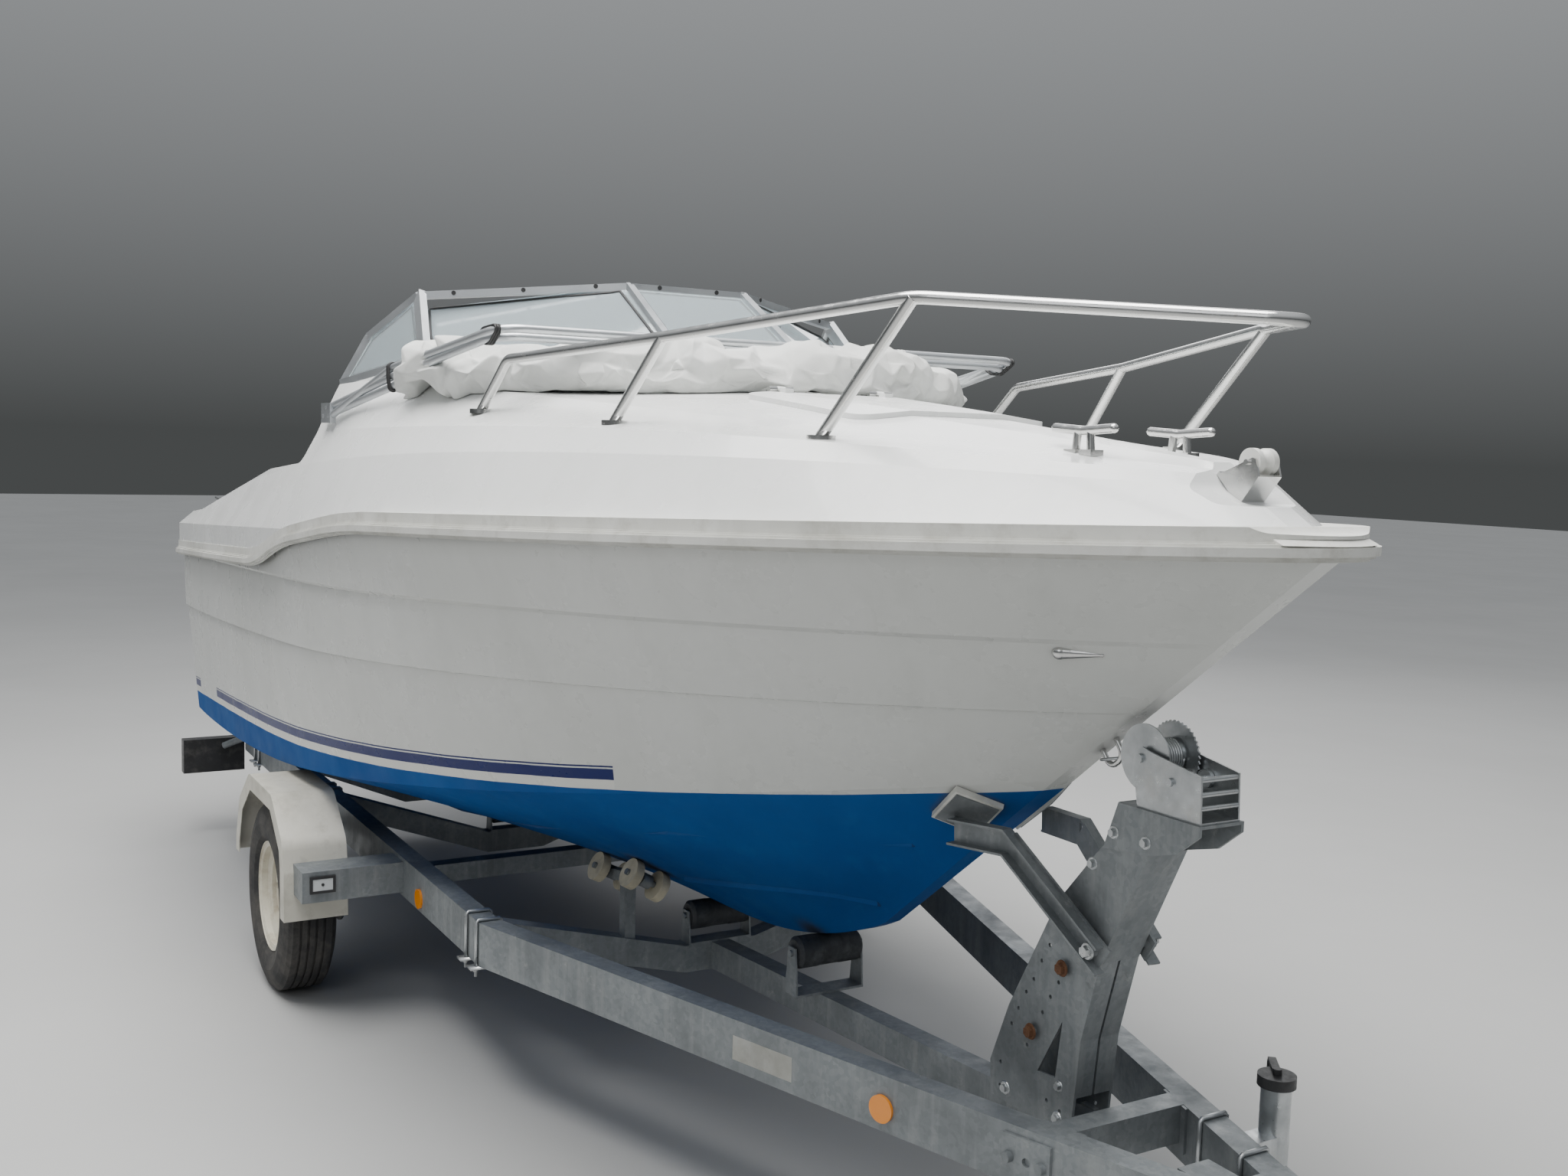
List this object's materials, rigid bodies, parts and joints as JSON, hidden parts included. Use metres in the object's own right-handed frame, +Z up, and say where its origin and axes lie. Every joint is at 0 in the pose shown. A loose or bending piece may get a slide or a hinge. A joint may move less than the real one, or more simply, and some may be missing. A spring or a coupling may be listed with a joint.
{
  "type": "speedboat on road trailer",
  "caption": "Small cuddy-cabin speedboat with open cockpit, windshield, bow rail and stern drive, strapped to a single-axle trailer that stands on its jockey wheel.",
  "frame": {"origin": "on the ground, midway along the whole length and on the centre line", "axes": "+X to the bow and the coupling, +Y to port, +Z up"},
  "size_m": [6.89, 2.184, 2.2888],
  "materials": {
    "topsides": "pale grey-white gelcoat over blue bottom paint, weathered",
    "gelcoat": "white gelcoat, chalky with age",
    "liner": "satin white moulding",
    "anodised": "satin anodised",
    "screen": "clear, slightly blue",
    "rail_vinyl": "weathered pale grey",
    "stainless": "polished stainless steel",
    "white_plastic": "moulded white",
    "black_plastic": "moulded black",
    "canvas": "white coated canvas, crumpled",
    "upholstery": "pale vinyl cover",
    "berth_cloth": "woven cover",
    "door_panel": "smoked panel",
    "engine_paint": "satin dark grey",
    "drive_paint": "satin dark grey",
    "prop_metal": "dull",
    "galvanised": "mottled zinc, dull",
    "zinc_plated": "bright zinc plating",
    "tyre": "worn and dusty",
    "rim_cream": "cream enamel",
    "hub_iron": "dusty",
    "guard_plastic": "cream plastic, weathered",
    "roller_rubber": "black with a blue-grey middle",
    "roller_cream": "cream nylon",
    "pad_white": "off-white",
    "lamp_black": "dark housing",
    "lens_red": "clear red",
    "reflector_amber": "prismatic amber",
    "wheel_black": "soft black grip"
  },
  "bodies": {
    "boat_and_trailer": {"hull": "topsides", "deck": "gelcoat", "cabin_bulkhead": "liner", "windshield_frame": "anodised", "windshield_glass": "screen", "rub_rail": "rail_vinyl", "bow_rail": "stainless", "cleats": "stainless", "bow_fittings": "stainless", "anchor_roller": "white_plastic", "vent_covers": "stainless", "canopy_bows": "anodised", "canvas_bundle": "canvas", "helm_console": "liner", "seat_bases": "liner", "seat_cushions": "upholstery", "berth_base": "liner", "berth_cushions": "berth_cloth", "engine_block": "engine_paint", "engine_box": "liner", "fixed_hinges": "stainless", "transom_plate": "drive_paint", "side_rails": "galvanised", "cross_members": "galvanised", "drawbar": "galvanised", "coupling": "zinc_plated", "axle": "galvanised", "mudguards": "guard_plastic", "outrigger_arms": "galvanised", "keel_rollers": "roller_rubber", "hull_rollers": "roller_cream", "roller_brackets": "galvanised", "winch_post": "galvanised", "winch_frame": "zinc_plated", "winch_drum": "zinc_plated", "bow_stops": "galvanised", "stop_pads": "pad_white", "lamp_units": "lamp_black", "lamp_lenses": "lens_red", "side_reflectors": "reflector_amber", "jockey_tube": "zinc_plated", "jockey_crank": "black_plastic"},
    "wheel_left": {"tyre_left": "tyre", "rim_left": "rim_cream", "hub_left": "hub_iron"},
    "wheel_right": {"tyre_right": "tyre", "rim_right": "rim_cream", "hub_right": "hub_iron"},
    "steering_wheel": {"steering_wheel": "wheel_black"},
    "cabin_door": {"cabin_door": "door_panel"},
    "foredeck_hatch": {"foredeck_hatch": "gelcoat"},
    "engine_lid": {"engine_lid": "liner", "sun_pad": "upholstery"},
    "drive_swivel": {"drive_swivel": "drive_paint"},
    "drive_leg": {"drive_leg": "drive_paint"},
    "propeller": {"propeller": "prop_metal"},
    "jockey_leg": {"jockey_leg": "zinc_plated"},
    "jockey_fork": {"jockey_fork": "zinc_plated"},
    "jockey_wheel": {"jockey_wheel": "roller_rubber"}
  },
  "joints": [
    {"name": "wheel_left_spin", "type": "hinge", "parent": "boat_and_trailer", "child": "wheel_left", "pos_m": [-0.56098, 0.99, 0.305], "axis": [0, 1, 0], "continuous": true},
    {"name": "wheel_right_spin", "type": "hinge", "parent": "boat_and_trailer", "child": "wheel_right", "pos_m": [-0.56098, -0.99, 0.305], "axis": [0, 1, 0], "continuous": true},
    {"name": "drive_steer", "type": "hinge", "parent": "boat_and_trailer", "child": "drive_swivel", "pos_m": [-2.65098, 0, 0.71], "axis": [0, 0, 1], "range_deg": [-30, 30]},
    {"name": "drive_tilt", "type": "hinge", "parent": "drive_swivel", "child": "drive_leg", "pos_m": [-2.65098, 0, 0.71], "axis": [0, 1, 0], "range_deg": [-50, 0]},
    {"name": "propeller_spin", "type": "hinge", "parent": "drive_leg", "child": "propeller", "pos_m": [-3.04932, 0, 0.37575], "axis": [0.6428, 0, -0.766], "continuous": true},
    {"name": "steering_wheel_turn", "type": "hinge", "parent": "boat_and_trailer", "child": "steering_wheel", "pos_m": [-0.51098, -0.48, 1.62], "axis": [0.8829, 0, -0.4695], "range_deg": [-540, 540]},
    {"name": "cabin_door_swing", "type": "hinge", "parent": "boat_and_trailer", "child": "cabin_door", "pos_m": [-0.26998, 0.39, 1.345], "axis": [0, 0, -1], "range_deg": [0, 100]},
    {"name": "foredeck_hatch_lift", "type": "hinge", "parent": "boat_and_trailer", "child": "foredeck_hatch", "pos_m": [1.11502, 0, 1.95977], "axis": [0, -1, 0], "range_deg": [0, 85]},
    {"name": "engine_lid_lift", "type": "hinge", "parent": "boat_and_trailer", "child": "engine_lid", "pos_m": [-2.36268, 0, 1.4185], "axis": [0, -1, 0], "range_deg": [0, 75]},
    {"name": "jockey_slide", "type": "slide", "parent": "boat_and_trailer", "child": "jockey_leg", "axis": [0, 0, 1], "range_m": [-0.08, 0.105]},
    {"name": "jockey_swivel", "type": "hinge", "parent": "jockey_leg", "child": "jockey_fork", "pos_m": [2.46902, 0.25, 0.221], "axis": [0, 0, 1], "continuous": true},
    {"name": "jockey_wheel_spin", "type": "hinge", "parent": "jockey_fork", "child": "jockey_wheel", "pos_m": [2.41402, 0.25, 0.1], "axis": [0, 1, 0], "continuous": true}
  ],
  "couplings": [
    {"joint": "steering_wheel_turn", "follows": "drive_steer", "ratio": 18}
  ]
}
